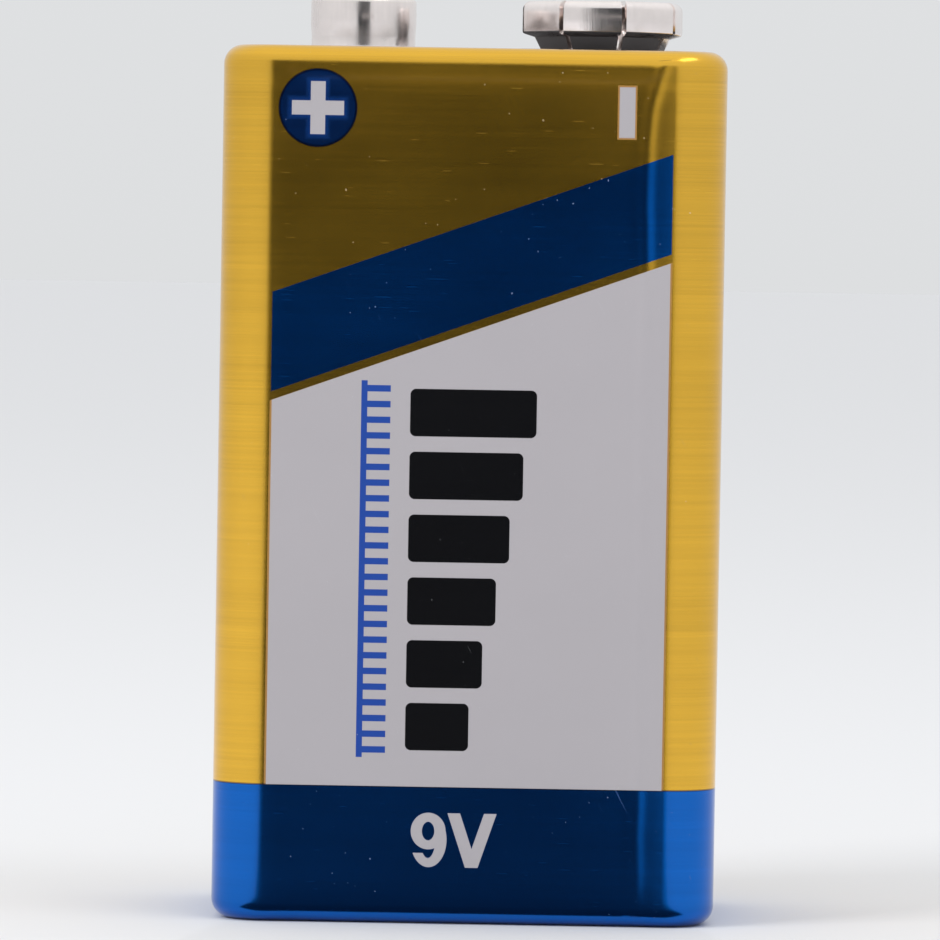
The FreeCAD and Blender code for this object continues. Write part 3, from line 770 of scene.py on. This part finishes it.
bmesh.ops.recalc_face_normals(jacket_mesh, faces=jacket_mesh.faces)
jacket_mesh.edges.index_update()
lip_edges = [e.index for e in jacket_mesh.edges if e.is_boundary]
jacket = piece_from(jacket_mesh, "folded_jacket", printed_tinplate, bare_tin)
for index in lip_edges:
    jacket.data.edges[index].use_edge_sharp = True
jacket_sheet = thicken(jacket, SHEET)
jacket_sheet.material_offset = 1
jacket_sheet.material_offset_rim = 1
jacket.modifiers.new("even_shading", "WEIGHTED_NORMAL").keep_sharp = True
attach(jacket, "root")
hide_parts("outer_jacket")

# %% [markdown]
# ## The snap stud
#
# The stud is a round cap drawn from thin sheet, so it is one section turned about an upright axis.
# `turned` spins a line of points all the way round and then rounds the corners that are named. A
# cylinder with a modifier would round every corner by the same radius.

# %% Turn a section
TURN_STEPS = 96


def turned(name, centre_x, section, rounds, material):
    """A round piece. Section and rounds are in millimetres, as radius and height."""
    bm = bmesh.new()
    points = [bm.verts.new((r * MM, 0, z * MM)) for r, z in section]
    lines = [bm.edges.new(pair) for pair in zip(points, points[1:] + points[:1])]
    bmesh.ops.spin(
        bm, geom=points + lines, cent=(0, 0, 0), axis=(0, 0, 1), angle=math.tau,
        steps=TURN_STEPS, use_merge=True,
    )
    bmesh.ops.remove_doubles(bm, verts=bm.verts, dist=TINY)
    for (r, z), radius, segments in rounds:
        circle = [
            e for e in bm.edges
            if level_at(e, z * MM) and all(abs(v.co.xy.length - r * MM) < TINY for v in e.verts)
        ]
        bevel(bm, circle, radius * MM, segments)
    bmesh.ops.recalc_face_normals(bm, faces=bm.faces)
    bmesh.ops.translate(bm, verts=bm.verts, vec=(centre_x, 0, 0))
    return piece_from(bm, name, material)


# %% [markdown]
# The section goes from the flange's underside up the side, over the top and back down inside. The
# wall leans out by a trace towards the top, which is what the socket snaps over.

# %% Make the stud
STUD_X, SOCKET_X = (
    sum(corner.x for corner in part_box(node)) / 2 for node in ("positive_stud", "negative_socket")
)
FOOT_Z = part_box("positive_stud")[0].z / MM
STUD_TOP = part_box("positive_stud")[1].z / MM
PIN_HOLE = 1.35
FLANGE, FLANGE_TOP = 3.5, FOOT_Z + 0.25
NECK, HEAD, BORE = 2.76, 2.8, 2.45
STUD_SECTION = (
    (PIN_HOLE, FOOT_Z), (FLANGE, FOOT_Z), (FLANGE, FLANGE_TOP), (NECK, FLANGE_TOP),
    (NECK, FOOT_Z + 0.9), (HEAD, FOOT_Z + 1.5), (HEAD, STUD_TOP), (0.0, STUD_TOP),
    (0.0, STUD_TOP - 0.3), (BORE - 0.3, STUD_TOP - 0.3), (BORE, STUD_TOP - 0.6),
    (BORE, FOOT_Z + 0.6), (PIN_HOLE, FOOT_Z + 0.6),
)
STUD_ROUNDS = (
    ((HEAD, STUD_TOP), 0.3, 6),
    ((FLANGE, FLANGE_TOP), 0.1, 3),
    ((FLANGE, FOOT_Z), 0.1, 3),
    ((NECK, FLANGE_TOP), 0.15, 3),
)
stud = turned("snap_stud", STUD_X, STUD_SECTION, STUD_ROUNDS, terminal_nickel)
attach(stud, "root")
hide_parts("positive_stud")

# %% [markdown]
# ## The snap socket
#
# The socket is the hard piece: eight flat petals rise from one round foot, lean out to a waist,
# step out again, and fold over a rounded crown into the mouth, where they bend to a circle that
# grips the stud. One petal is the same section spun through an eighth of a turn in a single step,
# which makes it flat. Its crown and lip are bevelled, its inner rows are moved onto the circle,
# its sides are cut along the slits, and the finished petal is copied round.

# %% One petal
PETALS = 8
EIGHTH = math.tau / PETALS
CROWN_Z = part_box("negative_socket")[1].z / MM
FOOT_RADIUS, WAIST, SIDE, MOUTH = 3.1, 3.5, 4.15, 2.8
SHOULDER_Z = FOOT_Z + 1.2
PETAL_SECTION = (
    (FOOT_RADIUS, FOOT_Z + 0.28), (WAIST, FOOT_Z + 1.0), (SIDE, SHOULDER_Z), (SIDE, CROWN_Z),
    (MOUTH, CROWN_Z), (MOUTH, CROWN_Z - 1.3),
)
PETAL_ROUNDS = (
    ((SIDE, CROWN_Z), 0.45, 6),
    ((MOUTH, CROWN_Z), 0.28, 5),
    ((SIDE, SHOULDER_Z), 0.1, 3),
)
PETAL_CUTS = 9

petal = bmesh.new()
to_corner = 1 / math.cos(EIGHTH / 2)
first_side = Matrix.Rotation(-EIGHTH / 2, 3, "Z")
points = [
    petal.verts.new(first_side @ Vector((r * to_corner, 0, z)) * MM) for r, z in PETAL_SECTION
]
lines = [petal.edges.new(pair) for pair in zip(points, points[1:])]
bmesh.ops.spin(
    petal, geom=points + lines, cent=(0, 0, 0), axis=(0, 0, 1), angle=EIGHTH, steps=1
)
for (r, z), radius, segments in PETAL_ROUNDS:
    across = [
        e for e in petal.edges
        if level_at(e, z * MM) and all(abs(v.co.x - r * MM) < TINY for v in e.verts)
    ]
    bevel(petal, across, radius * MM, segments)
across = [e for e in petal.edges if abs(e.verts[0].co.y - e.verts[1].co.y) > 1.5 * MM]
bmesh.ops.subdivide_edges(petal, edges=across, cuts=PETAL_CUTS, use_grid_fill=True)
print("faces of a petal:", len(petal.faces))

# %% [markdown]
# Outside, a stamped petal isn't quite flat: its sides draw back a little, so the middle bulges.
# The points towards the mouth move along their own radius until they lie on the circle. The slits
# are then planes beside the petal's two edges, and what lies past them is cut off.

# %% Bend the mouth round and cut the sides
BEND_START = 3.3
BULGE = 0.09
BULGE_FADE = 0.3
SLIT_HALF = 0.13
for vert in petal.verts:
    across = vert.co.y / vert.co.x / math.tan(EIGHTH / 2)
    on_side = fade(vert.co.x - BEND_START * MM, BULGE_FADE * MM)
    vert.co.x -= BULGE * MM * across * across * on_side
    reach = vert.co.xy.length
    roundness = fade(BEND_START * MM - vert.co.x, (BEND_START - MOUTH) * MM)
    if vert.co.z > (FOOT_Z + 1.3) * MM or vert.co.x < 3.0 * MM:
        vert.co.xy *= 1 + roundness * (vert.co.x / reach - 1)
for side in (-1, 1):
    outwards = Matrix.Rotation(side * EIGHTH / 2, 3, "Z") @ Vector((0, side, 0))
    bmesh.ops.bisect_plane(
        petal, geom=everything(petal), dist=TINY,
        plane_co=outwards * -SLIT_HALF * MM, plane_no=outwards, clear_outer=True,
    )
bmesh.ops.recalc_face_normals(petal, faces=petal.faces)
outer_face = max(petal.faces, key=lambda face: face.calc_center_median().x)
if outer_face.normal.x < 0:
    bmesh.ops.reverse_faces(petal, faces=petal.faces)
print("faces after the cuts:", len(petal.faces))

# %% [markdown]
# Copying by a spin with duplicates sets the eight petals round the axis. Solidify thickens them
# inwards, and a small Bevel takes the sharpness off the sheet's cut edges, which is what makes the
# thin bright lines along real slits. The round foot is turned like the stud.

# %% Eight petals on a foot
SOCKET_TURN = math.radians(14.5)
CONTACT_GAUGE = 0.3
bmesh.ops.spin(
    petal, geom=everything(petal), cent=(0, 0, 0), axis=(0, 0, 1),
    angle=math.tau - EIGHTH, steps=PETALS - 1, use_duplicate=True,
)
half_step = Matrix.Rotation(SOCKET_TURN + EIGHTH / 2, 3, "Z")
bmesh.ops.rotate(petal, verts=petal.verts, cent=(0, 0, 0), matrix=half_step)
bmesh.ops.translate(petal, verts=petal.verts, vec=(SOCKET_X, 0, 0))
petals = piece_from(petal, "socket_petals", terminal_nickel)
thicken(petals, CONTACT_GAUGE * MM)
softened = petals.modifiers.new("cut_edges", "BEVEL")
softened.width = 0.05 * MM
softened.segments = 2
softened.limit_method = "ANGLE"
softened.angle_limit = math.radians(50)
softened.harden_normals = True
FOOT_TOP = FOOT_Z + CONTACT_GAUGE
FOOT_SECTION = (
    (PIN_HOLE, FOOT_Z), (FOOT_RADIUS, FOOT_Z), (FOOT_RADIUS, FOOT_TOP), (PIN_HOLE, FOOT_TOP),
)
FOOT_ROUNDS = (((FOOT_RADIUS, FOOT_TOP), 0.08, 2),)
socket_foot = turned("socket_foot", SOCKET_X, FOOT_SECTION, FOOT_ROUNDS, terminal_nickel)
for piece in (petals, socket_foot):
    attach(piece, "root")
    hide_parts("negative_socket")

# %% [markdown]
# ## Floor, light and camera
#
# A pale floor runs back as far as the eye sees. It lies a trace lower than the battery's foot, so
# that the two never flicker through each other.

# %% Floor
FLOOR_HALF = 3.0
FLOOR_DROP = 0.02 * MM


def plain_material(name, colour, glows=False):
    f = Finish(name, Roughness=0.9)
    if glows:
        return f.feed(Base_Color=(0, 0, 0), Emission_Color=colour, Emission_Strength=1.0)
    return f.feed(Base_Color=colour)


floor_mesh = bmesh.new()
bmesh.ops.create_grid(floor_mesh, x_segments=1, y_segments=1, size=FLOOR_HALF)
bmesh.ops.translate(floor_mesh, verts=floor_mesh.verts, vec=(0, 0, -FLOOR_DROP))
floor = piece_from(floor_mesh, "pale_floor", plain_material("pale_paper", (0.78, 0.78, 0.79)))

# %% [markdown]
# Metal shows what it faces. In a product photo the flat front of a battery faces the dark camera,
# and only its rounded edges face the bright tent, which is why the flat is deep gold and the edges
# shine. A dark card stands in for that camera: it is seen in reflections only, and takes no light
# from the object. One of its faces stands upright before the battery and one lies on the floor up
# to its foot. A small grey card before it is level with the terminals and makes the soft grey
# bands in their plate.

# %% Cards for the reflections
DARK_CARD = (
    ((-40, -160, 0.1), (36, -160, 0.1), (36, -160, 106), (-40, -160, 106)),
    ((-12.5, -8.6, 0.1), (12.5, -8.6, 0.1), (36, -160, 0.1), (-40, -160, 0.1)),
)
GREY_CARD = (((-9.5, -60, 48.1), (18, -60, 48.1), (18, -60, 50.4), (-9.5, -60, 50.4)),)


def reflected_card(name, faces, glow):
    """A card of flat faces, given by their corners in millimetres, that only reflections see."""
    bm = bmesh.new()
    for corners in faces:
        bm.faces.new([bm.verts.new(Vector(corner) * MM) for corner in corners])
    made = piece_from(bm, name, plain_material(name, glow, glows=True))
    made.visible_camera = False
    made.visible_diffuse = False
    made.visible_shadow = False
    made.visible_transmission = False
    return made


card = reflected_card("dark_card", DARK_CARD, (0.026, 0.029, 0.033))
grey_card = reflected_card("grey_card", GREY_CARD, (0.47, 0.445, 0.435))

# %% [markdown]
# The world is a soft white tent, a little brighter above than at the horizon, so that colours come
# out about as they are written. A Map Range node turns the height of the direction into
# brightness.

# %% The tent
TENT_COLOUR = (0.97, 0.985, 1.0, 1.0)
TENT_RAMP = (("From Min", -0.1), ("From Max", 1.0), ("To Min", 0.72), ("To Max", 1.05))
world = bpy.data.worlds.new("white_tent")
scene.world = world
world.use_nodes = True
sky = world.node_tree
direction = sky.nodes.new("ShaderNodeTexCoord")
axes = sky.nodes.new("ShaderNodeSeparateXYZ")
brightness = sky.nodes.new("ShaderNodeMapRange")
sky.links.new(direction.outputs["Generated"], axes.inputs[0])
sky.links.new(axes.outputs["Z"], brightness.inputs["Value"])
for name, value in TENT_RAMP:
    brightness.inputs[name].default_value = value
background = sky.nodes["Background"]
background.inputs["Color"].default_value = TENT_COLOUR
sky.links.new(brightness.outputs["Result"], background.inputs["Strength"])
print("the tent's nodes:", len(sky.nodes))

# %% [markdown]
# Two soft lamps give the forms a direction. The large one, high on the left, is hidden from
# reflections, because it would show as a white square in the metal. The small one, high on the
# right, is there for its reflection: the bright spot on the rim's right corner.

# %% Lamps


def soft_lamp(name, place, size, power):
    """A lamp with a flat face of so wide by so high, looking at the middle of the battery."""
    lamp = bpy.data.lights.new(name, "AREA")
    lamp.shape = "RECTANGLE"
    lamp.size, lamp.size_y = size
    lamp.energy = power
    holder = bpy.data.objects.new(name, lamp)
    holder.location = place
    aim = Vector((0, 0, HEIGHT / 2)) - holder.location
    holder.rotation_euler = aim.to_track_quat("-Z", "Y").to_euler()
    scene.collection.objects.link(holder)
    print(name, "stands", round(aim.length, 2), "m away")
    return holder


main_lamp = soft_lamp("main_lamp", (-0.45, -0.35, 0.42), (0.25, 0.25), 1.6)
main_lamp.visible_glossy = False
soft_lamp("corner_lamp", (0.22, -0.15, 0.47), (0.26, 0.10), 0.25)

# %% [markdown]
# The camera looks from straight ahead and two degrees above the level, from 40 cm, tipped by a
# degree. Its lens is long, so the two sides stay nearly parallel.

# %% Camera
DISTANCE = 0.400
AZIMUTH, ELEVATION, TIP = math.radians(0.5), math.radians(2.0), math.radians(0.95)
AIM = Vector((0.065 * MM, -DEPTH / 2, 23.79 * MM))
camera = bpy.data.objects.new("camera", bpy.data.cameras.new("camera"))
camera.data.sensor_width = 36.0
camera.data.lens = 293.85
backwards = Vector((
    math.sin(AZIMUTH) * math.cos(ELEVATION), -math.cos(AZIMUTH) * math.cos(ELEVATION),
    math.sin(ELEVATION),
))
camera.location = AIM + backwards * DISTANCE
looking = (-backwards).to_track_quat("-Z", "Y").to_matrix() @ Matrix.Rotation(TIP, 3, "Z")
camera.rotation_euler = looking.to_euler()
camera.data.clip_start = 0.01
scene.collection.objects.link(camera)
scene.camera = camera
scene.view_settings.view_transform = "Standard"
print("camera at", [round(v, 3) for v in camera.location])

# %% [markdown]
